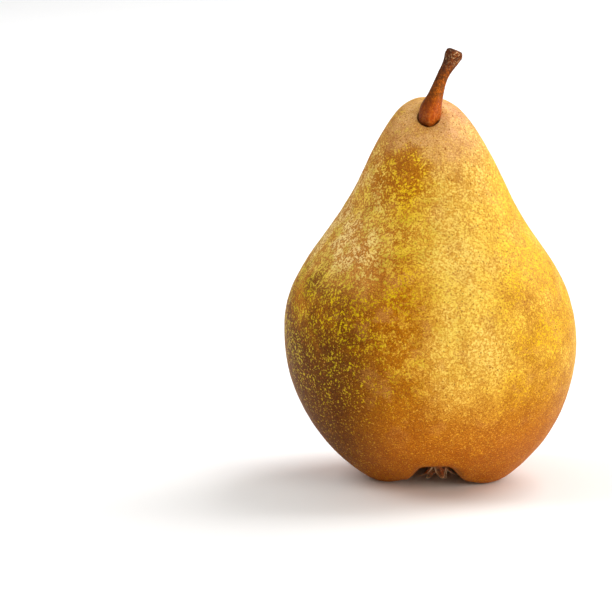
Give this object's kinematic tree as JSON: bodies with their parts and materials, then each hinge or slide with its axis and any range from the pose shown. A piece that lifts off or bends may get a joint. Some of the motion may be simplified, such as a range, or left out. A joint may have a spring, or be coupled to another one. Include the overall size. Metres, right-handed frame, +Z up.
{
  "type": "bosc pear",
  "caption": "Whole bosc pear standing on its base, with a curved woody stem and a dried calyx in the basin underneath.",
  "frame": {"origin": "on the ground, under the middle of the pear's bounding box", "axes": "+Z up from the calyx end to the stem, -Y towards the viewer, +X to the viewer's right"},
  "size_m": [0.0736, 0.0722, 0.1093],
  "materials": {
    "skin": "satin",
    "stem_wood": "matte",
    "dried_calyx": "matte"
  },
  "bodies": {
    "root": {"pear_body": "skin", "stem": "stem_wood", "calyx": "dried_calyx"}
  },
  "joints": []
}
